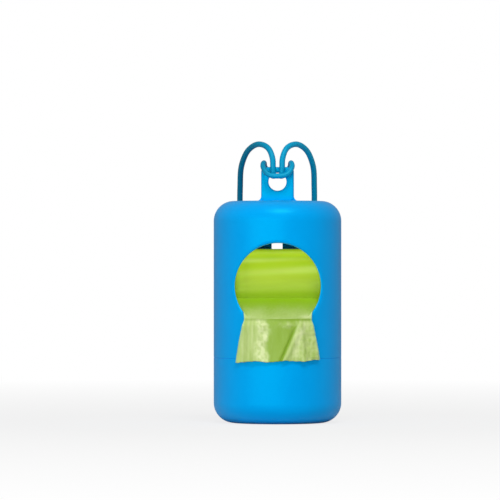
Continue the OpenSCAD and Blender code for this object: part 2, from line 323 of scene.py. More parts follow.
front_radii = [round(wound_radius(0, x) / MM, 2) for x in (-roll_half, 0, roll_half)]
print("radius in mm at the left, middle and right of the front:", front_radii)

# %% [markdown]
# The roll is a grid that closes both ways: round the axis, and across. Across, its points run
# along the outside to the right end, in over that end to the core, through the core's bore and
# out again over the left end. On the ends the edges of the windings show as fine steps that
# follow a slow spiral, and the corners are rounded, since wound film has no sharp edge.

# %% The wound film's points
ROLL_TURN_STEPS = 288
ROLL_LENGTH_STEPS = 96
ROLL_END_STEPS = 22
CORNER_REACH = 0.5 * MM
CORNER_DROP = 0.25 * MM
END_INSET = 0.12 * MM
WINDINGS_PER_MM = 2.4
WINDING_STEP = 0.05
END_UNEVEN = 0.16
core_low, core_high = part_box("roll_core")
core_radius = (core_high.z - core_low.z) / 2
bore_radius = core_radius + 0.02 * MM


def outside_point(angle, j):
    x = roll_half * (2 * j / ROLL_LENGTH_STEPS - 1)
    inwards = min(1, (1 - abs(x) / roll_half) * roll_half / CORNER_REACH)
    return x, wound_radius(angle, x) - CORNER_DROP * (1 - math.sqrt(1 - (1 - inwards) ** 2))


def end_point(angle, end, j):
    # j counts from the outside in to the core, and end is 1 on the right, -1 on the left
    u = j / ROLL_END_STEPS
    radius = (wound_radius(angle, end * roll_half) - CORNER_DROP) * (1 - u) + core_radius * u
    turn = radius / MM * WINDINGS_PER_MM + angle / (2 * math.pi)
    fading = math.sin(math.pi * u)
    uneven = noise.noise(Vector((radius / MM * 1.7, end * 5, 0))) * END_UNEVEN * fading
    winding = WINDING_STEP * math.sin(2 * math.pi * turn) * fading
    return end * (roll_half - END_INSET + (uneven + winding) * MM), radius


def across_the_roll(angle):
    steps = range(1, ROLL_END_STEPS)
    return (
        [outside_point(angle, j) for j in range(ROLL_LENGTH_STEPS + 1)]
        + [end_point(angle, 1, j) for j in steps]
        + [(roll_half, bore_radius), (-roll_half, bore_radius)]
        + [end_point(angle, -1, j) for j in reversed(steps)]
    )


def round_the_axis(angle, x, radius):
    return x, -radius * math.cos(angle), roll_axis_z + radius * math.sin(angle)


roll_angles = [2 * math.pi * i / ROLL_TURN_STEPS for i in range(ROLL_TURN_STEPS)]
roll_rows = np.array([
    [round_the_axis(angle, x, radius) for x, radius in across_the_roll(angle)]
    for angle in roll_angles
])
print("the roll has", roll_rows.shape[0], "rows of", roll_rows.shape[1], "points")

# %% [markdown]
# A shader can't know where a ridge is, so the mesh tells it, through numbers that are stored
# on each point. One says how much of a ridge lies there. The other is 1 on the outside, where
# the painted light goes, and 0 on the ends and in the bore.

# %% The wound film
# the height in mm at which a ridge counts in full
FULL_RIDGE = 0.09


def write_values(piece, name, values):
    stored = piece.data.attributes.new(name, "FLOAT", "POINT")
    stored.data.foreach_set("value", np.asarray(values, np.float32).ravel())


def ridge_value(angle, x):
    return min(1, sum(
        height / FULL_RIDGE * ridge_share(angle, x, *shape) for *shape, height in RIDGES
    ))


wound_film = make_piece(
    "wound_film", roll_rows, grid_faces(*roll_rows.shape[:2], close_rows=True, close_columns=True),
    "roll",
)
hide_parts("bag_roll")
write_values(wound_film, "ridge", [
    ridge_value(angle, x) for angle, row in zip(roll_angles, roll_rows) for x in row[:, 0]
])
outside = np.arange(roll_rows.shape[1]) <= ROLL_LENGTH_STEPS
write_values(wound_film, "outside", np.tile(outside, ROLL_TURN_STEPS))

# %% [markdown]
# The next bag comes off the front of the roll, slopes forward through the window, lies on the
# rim at both sides, folds and hangs down round the case. It is thin film, gathered to the
# window's width and crumpled where it was torn off. A cloth simulation would need the film's
# own stiffness to crease like this, so the sheet is laid out in code: a clean drape first,
# then pleats and creases pushed outward from it, never into the case.
# The way down the film is counted from 0 to 4. Up to 1 it lies on the roll, up to 3 it slopes
# to the fold, and up to 4 it hangs down the front.

# %% Where the film goes
LEAVES_ROLL = 1
AT_FOLD = 3
AT_END = 4
SINK_ANGLE = math.radians(-4)
LEAVE_ANGLE = math.radians(-24)
FOLD_HEIGHT = 41.9
FOLD_Z = FOLD_HEIGHT * MM
TORN_Z = 25.1 * MM
CASE_WALL = 1.6 * MM
WINDOW_RADIUS = 17 * MM
WINDOW_Z = 54.7 * MM
SILL_CLEARANCE = 0.4 * MM
case_low, case_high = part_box("base_cap")
case_radius = (case_high.x - case_low.x) / 2


def ramp_between(value, low, high):
    t = min(1, max(0, (value - low) / (high - low)))
    return t * t * (3 - 2 * t)


def over_the_sill(x, y, z):
    # both sides of the film are lifted over the window's curved edge, which rises to the sides
    sill_z = WINDOW_Z - math.sqrt(WINDOW_RADIUS**2 - x**2) + SILL_CLEARANCE
    outside = -math.sqrt(case_radius**2 - x**2)
    inside = -math.sqrt((case_radius - CASE_WALL) ** 2 - x**2)
    # the lift grows behind the wall and fades in front of it
    behind = ramp_between(-y, -inside - 2.2 * MM, -inside - 0.2 * MM)
    in_front = ramp_between(-y, -outside + 0.25 * MM, -outside + 1.0 * MM)
    return z + max(0, sill_z - z) * behind * (1 - in_front)


sill_at_side = over_the_sill(13 * MM, -case_radius + 3.8 * MM, 0)
print("13 mm off the middle the sill is", round(sill_at_side / MM, 1), "mm above the base")

# %% [markdown]
# Each upright slice through the film has its own profile. On the roll it follows the wound
# film, starts just under its surface and rises to lie just over it. Then it runs straight to
# the fold, apart from its way over the sill. From there it hangs a little clear of the case,
# more so at both sides of the fold.

# %% The film's profile
HANG_CLEARANCE = 0.42 * MM
SIDE_CLEARANCE = 0.7 * MM
SIDE_PLACE = 13 * MM
OVER_THE_ROLL = 0.10 * MM


def roll_point(angle, reach):
    return np.array([-reach * math.cos(angle), roll_axis_z + reach * math.sin(angle)])


def film_profile(x, v):
    sideways = abs(x / SIDE_PLACE) ** 2
    stand = HANG_CLEARANCE + SIDE_CLEARANCE * sideways * ramp_between(AT_END - v, 0.3, 1)
    hang = math.sqrt(case_radius**2 - x**2) + stand
    if v <= LEAVES_ROLL:
        angle = SINK_ANGLE + (LEAVE_ANGLE - SINK_ANGLE) * v
        # from 0.14 mm under the roll's surface to OVER_THE_ROLL
        return roll_point(angle, wound_radius(angle, x) + (0.24 * v**2 - 0.14) * MM)
    if v <= AT_FOLD:
        leave = roll_point(LEAVE_ANGLE, wound_radius(LEAVE_ANGLE, x) + OVER_THE_ROLL)
        # the fold stands out a little more than what hangs from it
        fold = np.array([-hang - 0.3 * MM, FOLD_Z + 0.2 * MM])
        y, z = leave + (fold - leave) * (v - LEAVES_ROLL) / (AT_FOLD - LEAVES_ROLL)
        return np.array([y, over_the_sill(x, y, z)])
    return np.array([-hang, FOLD_Z + (TORN_Z - FOLD_Z) * (v - AT_FOLD)])


for v in (0, LEAVES_ROLL, AT_FOLD, AT_END):
    print("at", v, "the film's middle is at y, z in mm:", (film_profile(0, v) / MM).round(1))

# %% [markdown]
# The film is as wide as the roll at first, narrows towards the fold, where the window's edge
# gathers it, and spreads again below. Its points lie closest where it leaves the roll. Past
# there, each point moves half way to the middle between its neighbours up and down the film,
# a few times over, which rounds the fold.

# %% The clean drape
FILM_COLUMNS = 160
# how far the film reaches to either side, in mm, at eight places on its way
REACH_WAYS = (0, 1, 1.6, 2.0, 2.4, 3, 3.5, 4)
LEFT_REACH = (16.9, 16.9, 16.2, 14.9, 14.0, 13.3, 15.1, 16.4)
RIGHT_REACH = (16.9, 16.9, 16.2, 14.9, 13.9, 13.3, 14.8, 16.2)
SMOOTH_FROM = 1.2
SMOOTH_ROUNDS = 6


def drape_point(u, v):
    x = u * np.interp(v, REACH_WAYS, LEFT_REACH if u < 0 else RIGHT_REACH) * MM
    y, z = film_profile(x, v)
    return np.array([x, y, z])


film_ways = np.concatenate([
    np.linspace(0, 0.95, 20, endpoint=False), np.linspace(0.95, 1.06, 12, endpoint=False),
    np.linspace(1.06, 3, 64, endpoint=False), np.linspace(3, 4, 80),
])
film_grid = np.array([
    [drape_point(2 * c / FILM_COLUMNS - 1, v) for c in range(FILM_COLUMNS + 1)] for v in film_ways
])
loose_rows = film_grid[int(np.searchsorted(film_ways, SMOOTH_FROM)):]
for _ in range(SMOOTH_ROUNDS):
    loose_rows[1:-1] += 0.5 * ((loose_rows[2:] + loose_rows[:-2]) / 2 - loose_rows[1:-1])
print("drape of", film_grid.shape[0], "by", film_grid.shape[1], "points")

# %% [markdown]
# The creases are what makes film look like film. From left to right there are soft upright
# pleats, a streak of hard crumples, a smooth panel with one deep slanting fold, and another
# crumpled part. Each is a small function of the place on the film, in millimetres, and is made
# from three building blocks: a rounded bump, soft blotches, and crumples with sharp tops.

# %% Building blocks of creases
def bump_of(distance, width):
    return math.exp(-((distance / width) ** 2))


def blotches(x, z, size, seed):
    # soft patches with a hard edge here and there, from 0 to 1
    a = noise.noise(Vector((x / size, z / size * 0.7, seed)))
    b = noise.noise(Vector((x / size * 2.2, z / size * 2.0, seed + 7)))
    return ramp_between(a + 0.55 * b, -0.25, 0.45)


def crumple(x, z, size, seed):
    # ridges with sharp tops, like film that was squeezed in a fist
    a = abs(noise.noise(Vector((x / size * 1.2, z / size, seed))))
    b = abs(noise.noise(Vector((x / size * 2.6, z / size * 2.0, seed + 3))))
    return 1 - 1.7 * a - 0.8 * b


print("a bump at its middle and one width away:", bump_of(0, 2), round(bump_of(2, 2), 2))

# %% [markdown]
# The hanging part is laid out in named features. Written as functions of the place, they can
# be used twice: for the height of the film, and for its colour, since crumpled film is paler.
# A streak wavers about its middle line, so a sine shifts it as it goes down.

# %% Features of the hanging film
# places in mm, x to the right of the middle and z above the base
LEFT_STREAK_X = -6.1
RIGHT_STREAK_X = 8.2
RIGHT_BAND = (5, 9)
KNOT_X = 3.2
KNOT_Z = 39.4
PANEL_EDGE_X = -3.9
DEEP_FOLD_X = 0.9
DEEP_FOLD_Z = 24.8
DEEP_FOLD_SLANT = 0.437


def left_streak(x, z):
    return bump_of(x - LEFT_STREAK_X + 0.6 * math.sin(z * 0.45 + 1), 2.2)


def right_streak(x, z):
    return bump_of(x - RIGHT_STREAK_X - 1.2 * math.sin(z * 0.22 - 0.6), 2.4)


def right_band(x):
    return ramp_between(x, *RIGHT_BAND)


def knot(x, z):
    return bump_of(x - KNOT_X, 2.6) * bump_of(z - KNOT_Z, 1.3)


def past_slanting_fold(x, z):
    # distance in mm to the right of the deep fold, which runs down to the left
    return x - DEEP_FOLD_X - (z - DEEP_FOLD_Z) * DEEP_FOLD_SLANT


def slanting_fold(x, z):
    return bump_of(past_slanting_fold(x, z), 0.62) * ramp_between(39.6 - z, 0, 4)


def smooth_panel(x, z):
    wavering = 0.7 * math.sin(z * 0.55)
    edge = PANEL_EDGE_X + wavering + 1.3 * noise.noise(Vector((3.0, z / 1.9, 40)))
    right_of_edge = ramp_between(x, edge - 0.8, edge + 0.8)
    return right_of_edge * (1 - ramp_between(past_slanting_fold(x, z), 0, 0.9))


fold_at_35 = round(-past_slanting_fold(0, 35), 1)
print("35 mm up, the deep fold is", fold_at_35, "mm to the right of the middle")

# %% [markdown]
# The height says how far the film stands out of its clean drape: pleats that slant outwards as
# they go down, hard crumples in the streaks, soft waves all over, and a tail that flares near
# the torn end. It is never below zero, so that the film can't go into the case.

# %% Height of the hanging film
# Each pleat: where it starts at the fold, how far it slants sideways per mm of drop, its width
# and its height. Lengths are in mm.
PLEATS = (
    (-13.4, -0.13, 0.9, 0.40), (-10.6, -0.08, 1.0, 0.30), (-8.7, -0.03, 0.7, 0.22),
    (8.6, 0.09, 1.3, 0.42), (13.0, 0.15, 1.1, 0.48),
)
LEAST_HEIGHT = 0.15
CRUMPLE_HEIGHT = 0.7
WAVE_HEIGHT = 0.22
TAIL_HEIGHT = 0.45
DEEP_FOLD_DEPTH = 0.5
DEEP_FOLD_LIP = 0.55


def hanging_height(x, z):
    # one share grows over the first 2.5 mm under the fold, the other over the last 12 mm
    below_fold = ramp_between(41.4 - z, 0, 2.5)
    low = ramp_between(36 - z, 0, 12)
    drop = FOLD_HEIGHT - z
    pleats = sum(
        height * bump_of(x - start - drop * slant, width)
        for start, slant, width, height in PLEATS
    )
    beside_fold = bump_of(past_slanting_fold(x, z) - 1.7, 1.2)
    pleats += DEEP_FOLD_LIP * beside_fold * ramp_between(39 - z, 0, 4)
    where = 0.55 * left_streak(x, z) + 0.40 * right_band(x) + 0.5 * knot(x, z)
    hard = CRUMPLE_HEIGHT * (crumple(x, z, 3.8, 3.0) * where)
    soft = WAVE_HEIGHT * (noise.noise(Vector((x / 2.6, z / 9.0, 1.0))) + 0.6)
    tail = TAIL_HEIGHT * low * (0.5 + 0.5 * math.sin(x * 0.58 + 0.8))
    fold = DEEP_FOLD_DEPTH * slanting_fold(x, z)
    return max(below_fold * (LEAST_HEIGHT + pleats + hard + soft + tail - fold), 0)


low_heights = [hanging_height(x, 30) for x in range(-14, 15)]
print("30 mm up, the film stands out by up to", round(max(low_heights), 2), "mm")

# %% [markdown]
# Two more numbers prepare the colour. Pale is high where the film is crumpled and milky, and
# low on the smooth panel. Deep is high where layers stack, and where a fold lies in shade, which
# is painted shade; there the green is deeper.

# %% How pale and how deep the hanging film is
def hanging_pale(x, z):
    # a middling paleness, and then what each feature adds to it or takes away
    panel = smooth_panel(x, z)
    fine_streaks = noise.noise(Vector((x / 1.1, z / 14.0, 20.0)))
    pale = 0.40 + 0.32 * fine_streaks * (1 - panel)
    pale += (0.18 + 0.60 * blotches(x, z, 2.3, 3.0)) * left_streak(x, z)
    pale += (0.42 * blotches(x, z, 3.0, 11.0) - 0.02) * right_streak(x, z)
    pale += (
        0.45 * knot(x, z) * blotches(x, z, 1.8, 5.0)
        + 0.18 * (blotches(x, z, 2.6, 15.0) - 0.5) * right_band(x)
    )
    pale -= 0.42 * panel * (1 - 0.5 * knot(x, z))
    return pale * ramp_between(FOLD_HEIGHT - z, -1, 1)


def hanging_deep(x, z):
    # painted shade along the crease under the fold, and in the deep slanting fold
    crease = bump_of(z - 41.5, 0.5) * (0.35 + 0.45 * ramp_between(x, -8, 2))
    return max(0.95 * slanting_fold(x, z), crease * 0.8, 0.25 * smooth_panel(x, z))


for place, x in (("left streak", -6), ("smooth panel", -1), ("right band", 9)):
    print(place, "pale", round(hanging_pale(x, 34), 2), "deep", round(hanging_deep(x, 34), 2))

# %% [markdown]
# The slope between the roll and the fold is pulled straighter. It has low waves and gathers
# only, gets milky towards the fold, above all at its two corners, and is painted in shade at
# the fold and where it comes off the roll.

# %% The sloping film
def slope_height(x, t):
    waves = noise.noise(Vector((x / 3.6, t * 1.6, 4.0))) * 0.12
    gathers = 0.08 * math.sin(x * 1.05 + 1.1 * math.sin(t * 3)) * t
    return (waves + gathers) * math.sin(math.pi * min(1, max(0, t)))


def slope_pale(x, t, z):
    pale = 0.34 * ramp_between(t, 0.25, 1) + 0.16 * noise.noise(Vector((x / 5, t * 2, 30)))
    pale += 0.35 * bump_of(x - 10.8, 2.2) * bump_of(z - 42.6, 0.9)
    pale += 0.20 * bump_of(x + 11.2, 2.2) * bump_of(z - 42.6, 0.9)
    return pale


def slope_deep(z):
    # painted shade at the fold and where the film comes off the roll
    return 0.30 * bump_of(z - 41.8, 0.5) + 0.35 * bump_of(z - 49.6, 2)


def film_look(x, v, z):
    """How far the film stands out in mm, how pale, and how deep its layers and painted shade are."""
    if v > AT_FOLD:
        return hanging_height(x, z), hanging_pale(x, z), hanging_deep(x, z)
    if v > LEAVES_ROLL:
        t = (v - LEAVES_ROLL) / (AT_FOLD - LEAVES_ROLL)
        return slope_height(x, t), slope_pale(x, t, z), slope_deep(z)
    return 0, 0, 0


print("half way down the slope:", [round(n, 2) for n in film_look(0, 2, 46)])

# %% [markdown]
# Now every point of the drape moves out along its own normal, and its numbers are kept for the
# shader. Two more join them: how far the film is still part of the roll, and how near its side
# edge is, where a paler colour is painted light, for light that runs inside the film and comes
# out.

# %% The creases go into the drape
# the film's half width in mm, on average
HALF_WIDTH = 14


def surface_normals(grid):
    down = np.gradient(grid, axis=0)
    across = np.gradient(grid, axis=1)
    normals = np.cross(down, across)
    return normals / np.linalg.norm(normals, axis=2, keepdims=True)


film_normals = surface_normals(film_grid)
film_values = {name: np.zeros(film_grid.shape[:2]) for name in ("pale", "deep", "wound", "edge")}
for r, v in enumerate(film_ways):
    for c in range(FILM_COLUMNS + 1):
        x, _, z = film_grid[r, c] / MM
        stand, pale, deep = film_look(x, v, z)
        from_edge = (1 - abs(2 * c / FILM_COLUMNS - 1)) * HALF_WIDTH
        film_values["pale"][r, c] = min(1, max(0, pale))
        film_values["deep"][r, c] = deep
        film_values["wound"][r, c] = 1 - ramp_between(v, 1.0, 2.3)
        # painted light along the side edges of the slope
        film_values["edge"][r, c] = bump_of(from_edge, 0.5) * ramp_between(v, 2.2, 2.8)
        film_grid[r, c] += film_normals[r, c] * stand * MM
film_front = float((-film_grid[..., 1]).max())
print("film stands out up to", round((film_front - case_radius) / MM, 2), "mm")

# %% [markdown]
# The bag before this one was torn off here, so the end isn't straight. It waves a little and
# rises to the right. The last rows of points move with it, each a little less than the row
# below.

# %% The torn end
TORN_ROWS = 12

for c, point in enumerate(film_grid[-1].copy()):
    x = point[0] / MM
    lift = 0.35 * noise.noise(Vector((x / 1.9, 2.0, 0))) + 0.25 * math.sin(x * 0.5) + 0.02 * x
    for back in range(TORN_ROWS):
        film_grid[-1 - back, c, 2] += lift * MM * (1 - back / TORN_ROWS) ** 1.5
torn_heights = film_grid[-1, :, 2] / MM
print("the torn end lies", round(torn_heights.min(), 1), "to", round(torn_heights.max(), 1), "mm up")

# %% [markdown]
# So far the film is a surface without thickness. Real film is far thinner than a tenth of a
# millimetre, but a solid as thin as that would flicker, so it gets a little more. A copy of the
# grid behind the first, joined to it all round the rim, closes the sheet.

# %% The sheet gets its thickness
FILM_THICKNESS = 0.16 * MM


def thick_sheet(grid, thickness):
    rows, columns = grid.shape[:2]
    count = rows * columns
    back = grid - surface_normals(grid) * thickness
    points = np.concatenate([grid.reshape(-1, 3), back.reshape(-1, 3)])
    front_faces = [tuple(reversed(f)) for f in grid_faces(rows, columns)]
    faces = front_faces + [tuple(i + count for i in reversed(f)) for f in front_faces]
    rim = (
        list(range(columns)) + [r * columns + columns - 1 for r in range(1, rows)]
        + [(rows - 1) * columns + c for c in range(columns - 2, -1, -1)]
        + [r * columns for r in range(rows - 2, 0, -1)]
    )
    for a, b in zip(rim, rim[1:] + rim[:1]):
        faces.append((a, b, b + count, a + count))
    return points, faces


film_points, film_faces = thick_sheet(film_grid, FILM_THICKNESS)
next_bag = make_piece("next_bag", film_points, film_faces, None)
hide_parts("leading_bag")

# %% [markdown]
# Film lets light through. Here that is painted light: what falls on the roll's front wanders
# between its layers and comes out again, and this is painted as an emission in the film's own
# colour, most of it at the top and on the left, while the underside is painted in shade. Two
# formulas of the place say how much. They serve twice: here with arrays, for numbers that are
# stored on the loose film, and later with shader sockets, for the roll, which turns while the
# light stays where it is. Only the function that limits a value differs, so it is handed in.

# %% Painted light and shade in the film
# each term starts at a height or a side and grows with the distance from it, up to a limit
def glow_share(x, z, limited):
    front = limited((z - 54 * MM) * 38, 0, 0.45)
    crown = limited((z - 66 * MM) * 170, 0, 0.5)
    left_edge = limited((x + 12.5 * MM) * -60, 0, 0.16)
    left_top = limited((x + 3 * MM) * -20, 0, 0.16) * limited((z - 58 * MM) * 120, 0, 1)
    return front + crown + left_edge + left_top


def painted_shade_share(z, limited):
    return limited((58 * MM - z) * 110, 0, 1)


# painted light and painted shade, stored on the loose film
film_x, film_z = film_grid[..., 0], film_grid[..., 2]
film_values["glow"] = glow_share(film_x, film_z, np.clip) * film_values["wound"]
film_values["under"] = painted_shade_share(film_z, np.clip)
for name, values in film_values.items():
    write_values(next_bag, name, np.tile(values.ravel(), 2))
print("numbers stored on the film:", list(film_values))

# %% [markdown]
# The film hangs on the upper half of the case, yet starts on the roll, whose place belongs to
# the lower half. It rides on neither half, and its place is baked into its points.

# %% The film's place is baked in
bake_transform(next_bag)

# %% [markdown]
# Materials are node trees. In the node editor a sum is a chain of Math nodes, which is hard to
# read and to change. Here a small class holds one output socket of a node, and its operators
# add the Math nodes, so that shader maths reads like a formula.

# %% Sockets that can be used in sums
class Signal:
    """One output of a node. An operator on it adds a Math node to the same tree."""

    def __init__(self, finish, socket):
        self.finish = finish
        self.socket = socket

    def maths(self, operation, first, second):
        return self.finish.node(
            "ShaderNodeMath", {"operation": operation}, {0: first, 1: second}
        )

    def __add__(self, other):
        return self.maths("ADD", self, other)

    __radd__ = __add__

    def __sub__(self, other):
        return self.maths("SUBTRACT", self, other)

    def __rsub__(self, other):
        return self.maths("SUBTRACT", other, self)

    def __mul__(self, other):
        return self.maths("MULTIPLY", self, other)

    __rmul__ = __mul__


print("signals can be added, subtracted and multiplied")

# %% [markdown]
# A finish is one node tree. One method makes any node from its type, its settings and the
# values or signals for its sockets, and the rest are short names for what comes up often: the
# place, a number stored on the mesh, noise, limits, mixed colours and low relief. The world is
# a node tree too, so the same class serves it.

# %% Finishes
class Finish:
    """The node tree of a material or of the world, built node by node."""

    def __init__(self, owner):
        self.owner = owner
        owner.use_nodes = True
        self.tree = owner.node_tree
        self.tree.nodes.clear()

    def node(self, kind, settings=None, sockets=None, output=0):
        made = self.tree.nodes.new(kind)
        for name, value in (settings or {}).items():
            setattr(made, name, value)
        for name, value in (sockets or {}).items():
            if isinstance(value, Signal):
                self.tree.links.new(value.socket, made.inputs[name])
            else:
                made.inputs[name].default_value = value
        return Signal(self, made.outputs[output]) if made.outputs else None

    def place(self):
        return self.node("ShaderNodeTexCoord", output="Object")

    def along(self, axis, place):
        return self.node("ShaderNodeSeparateXYZ", None, {0: place}, output=axis)

    def stored(self, name):
        return self.node("ShaderNodeAttribute", {"attribute_name": name}, output="Fac")

    def cloud(self, per_mm, detail=3, stretch=(1, 1, 1)):
        where = self.node("ShaderNodeMapping", None, {"Vector": self.place(), "Scale": stretch})
        return self.node(
            "ShaderNodeTexNoise", None,
            {"Vector": where, "Scale": per_mm / MM, "Detail": detail, "Roughness": 0.55},
        )

    def limited(self, value, low, high):
        return self.node("ShaderNodeClamp", None, {"Value": value, "Min": low, "Max": high})

    def colour(self, share, first, second):
        # in a Mix node for colours, 6 and 7 are the two colours and output 2 is the mixture
        return self.node(
            "ShaderNodeMix", {"data_type": "RGBA"}, {0: share, 6: first, 7: second}, output=2
        )

    def relief(self, height, distance, strength):
        return self.node(
            "ShaderNodeBump", None,
            {"Height": height, "Distance": distance, "Strength": strength},
        )

    def done(self, **sockets):
        named = {name.replace("_", " "): value for name, value in sockets.items()}
        surface = self.node("ShaderNodeBsdfPrincipled", None, named)
        self.node("ShaderNodeOutputMaterial", None, {"Surface": surface})
        print("finish", self.owner.name, "uses", len(self.tree.nodes), "nodes")
        return self.owner


def new_finish(name):
    return Finish(bpy.data.materials.new(name))


print("a finish knows:", [name for name in vars(Finish) if not name.startswith("_")])

# %% [markdown]
# Colours are chosen as on a colour chart, with levels from 0 to 255. Those levels are spaced
# for the eye, while a renderer adds up light, so they are turned into linear numbers.

# %% Colours as on a chart
def linear_light(level):
    share = level / 255
    return ((share + 0.055) / 1.055) ** 2.4 if share > 0.04045 else share / 12.92


def paint(red, green, blue):
    return (linear_light(red), linear_light(green), linear_light(blue), 1)


print("a level of 128 is", round(linear_light(128), 3), "of full light")

# %% [markdown]
# The case is moulded plastic in a strong sky blue. A mould's polish leaves it satin, with fine
# pores and faint patches where its shine changes. The roughness follows both, and a very low
# bump raises the pores. The thin tab on top is painted a little greener, as painted light for
# the light that passes through its thin plastic. White gloss would turn the rounded edges grey,
# so the gloss is tinted as well.

# %% Blue moulded plastic for the case
case_finish = new_finish("blue_case_plastic")
patches = case_finish.cloud(0.09, detail=2)
pores = case_finish.cloud(2.6, detail=2)
thick_colour = case_finish.colour(patches, paint(0, 164, 245), paint(0, 171, 250))
# the tab starts 88 mm up, and the blue changes within about 3 mm
case_height = case_finish.along("Z", case_finish.place())
# painted light: above the tab's start the blue is painted greener, for light through the tab
tab_painted_light = case_finish.limited((case_height - 88 * MM) * 300, 0, 1)
case_material = case_finish.done(
    Base_Color=case_finish.colour(tab_painted_light, thick_colour, paint(0, 176, 232)),
    Roughness=case_finish.limited(0.30 + patches * 0.10 + pores * 0.05, 0.2, 0.6),
    Normal=case_finish.relief(pores, 0.02 * MM, 0.35),
    Specular_IOR_Level=0.6, Specular_Tint=(0.0, 0.9, 1, 1),
)

# %% [markdown]
# The carrier inside is the same kind of plastic in dark navy. It only shows past the roll and
# when the case is lifted off. The spindle is natural white, and the core is brown board with
# long fibres that run round it. The three work alike, so they share one function: a single
# cloud of pores or fibres drives the colour, the roughness and the bump.

# %% Plastic and board for the inner pieces
def speckled(name, per_mm, colours, roughness, gain, bump, detail=2, stretch=(1, 1, 1)):
    finish = new_finish(name)
    specks = finish.cloud(per_mm, detail, stretch)
    return finish.done(
        Base_Color=finish.colour(specks, *colours),
        Roughness=roughness + specks * gain,
        Normal=finish.relief(specks, *bump),
    )


carrier_material = speckled(
    "navy_carrier_plastic", per_mm=1.8, colours=(paint(8, 38, 80), paint(12, 50, 98)),
    roughness=0.38, gain=0.1, bump=(0.03 * MM, 0.4),
)
spindle_material = speckled(
    "white_spindle_plastic", per_mm=1.2, colours=(paint(226, 226, 220), paint(238, 238, 233)),
    roughness=0.34, gain=0.1, bump=(0.02 * MM, 0.4),
)
core_material = speckled(
    "brown_core_board", per_mm=1.1, colours=(paint(150, 116, 78), paint(196, 164, 122)),
    roughness=0.8, gain=0.15, bump=(0.12 * MM, 0.7), detail=6, stretch=(3, 1, 1),
)

# %% [markdown]
# The cord is soft solid rubber in a deeper, greener blue than the case, smooth with a dull
# bloom. Its colour carries painted shade: the loop is painted darkest along its left side, and
# the legs behind the case are painted darker than the front, so the colour follows the place on
# the loop. The ferrule is a harder, darker plastic.

# %% Rubber for the cord, and the ferrule's plastic
cord_finish = new_finish("blue_cord_rubber")
bloom = cord_finish.cloud(0.7, detail=4)
# painted shade, darker behind and to the left: one share grows from the tab to 20 mm behind it,
# the other from the middle to 10 mm left of it
behind = cord_finish.limited(cord_finish.along("Y", cord_finish.place()) * 50, 0, 1)
to_the_right = cord_finish.along("X", cord_finish.place())
painted_left_shade = cord_finish.limited(to_the_right * -110 - 0.1, 0, 1)
near_right = cord_finish.colour(bloom, paint(0, 152, 196), paint(0, 162, 206))
# painted shade makes the loop's left side darker, and the far legs behind the case too
near_colour = cord_finish.colour(painted_left_shade, near_right, paint(0, 124, 158))
far_painted_shade_colour = cord_finish.colour(painted_left_shade, paint(0, 148, 176), paint(6, 106, 134))
cord_material = cord_finish.done(
    Base_Color=cord_finish.colour(behind, near_colour, far_painted_shade_colour),
    Roughness=0.36 + bloom * 0.14,
    Normal=cord_finish.relief(bloom, 0.03 * MM, 0.3),
    Specular_Tint=(0.2, 0.8, 1, 1),
)

ferrule_material = speckled(
    "dark_ferrule_plastic", per_mm=2.0, colours=(paint(10, 60, 96), paint(16, 74, 112)),
    roughness=0.3, gain=0.1, bump=(0.02 * MM, 0.4),
)

# %% [markdown]
# Wound tight, the thin film is a strong yellow-green, because the light passes many layers. At
# a ridge a fold stands clear of the layers below, and it is painted paler, as a painted
# highlight along the ridge. Light that would come out of the film again is painted light: an
# emission in the film's own colour. It is on the front of the outside only, and follows the
# place in the room, so that it stays there when the roll turns. Low on the roll the green is
# painted deeper, as painted shade on the underside.

# %% Film on the roll
PAINTED_GLOW_STRENGTH = 1.0
WOUND_GREEN = paint(186, 220, 36)
WOUND_BRIGHT = paint(197, 229, 48)
UNDER_PAINTED_SHADE_GREEN = paint(150, 194, 22)
RIDGE_PAINTED_HIGHLIGHT = paint(216, 246, 106)


def wound_green(finish, under, turns):
    return finish.colour(under, finish.colour(turns, WOUND_GREEN, WOUND_BRIGHT), UNDER_PAINTED_SHADE_GREEN)


def glow_through(finish, share, colour):
    return finish.colour(share, (0, 0, 0, 1), colour)


def in_the_room(finish, axis):
    return finish.along(axis, finish.node("ShaderNodeNewGeometry", output="Position"))


roll_finish = new_finish("wound_green_film")
ridge = roll_finish.stored("ridge")
turns = roll_finish.cloud(0.28, detail=3, stretch=(0.25, 1, 1))
wrinkles = roll_finish.cloud(1.5, detail=4, stretch=(0.35, 1, 1))
roll_height = in_the_room(roll_finish, "Z")
# 1 on the roll's front, and 0 from its axis backwards
roll_front = roll_finish.limited((in_the_room(roll_finish, "Y") - 1 * MM) * -110, 0, 1)
# painted light: an emission on the roll's front, strongest at the top and on the left
roll_glow = glow_share(in_the_room(roll_finish, "X"), roll_height, roll_finish.limited)
painted_glow_outside = roll_glow * roll_front * roll_finish.stored("outside")
# painted shade: the roll's green is painted deeper low down, below 58 mm
roll_painted_shade = painted_shade_share(roll_height, roll_finish.limited)
wound_colour = wound_green(roll_finish, roll_painted_shade, turns)
# each ridge is real relief, and its paler colour is a painted highlight
roll_colour = roll_finish.colour(ridge * 0.75, wound_colour, RIDGE_PAINTED_HIGHLIGHT)
roll_material = roll_finish.done(
    Base_Color=roll_colour,
    Roughness=roll_finish.limited(0.30 + wrinkles * 0.22, 0.2, 0.7),
    Normal=roll_finish.relief(wrinkles, 0.10 * MM, 0.45),
    Specular_IOR_Level=0.3,
    Emission_Color=glow_through(roll_finish, painted_glow_outside, roll_colour),
    Emission_Strength=PAINTED_GLOW_STRENGTH,
)
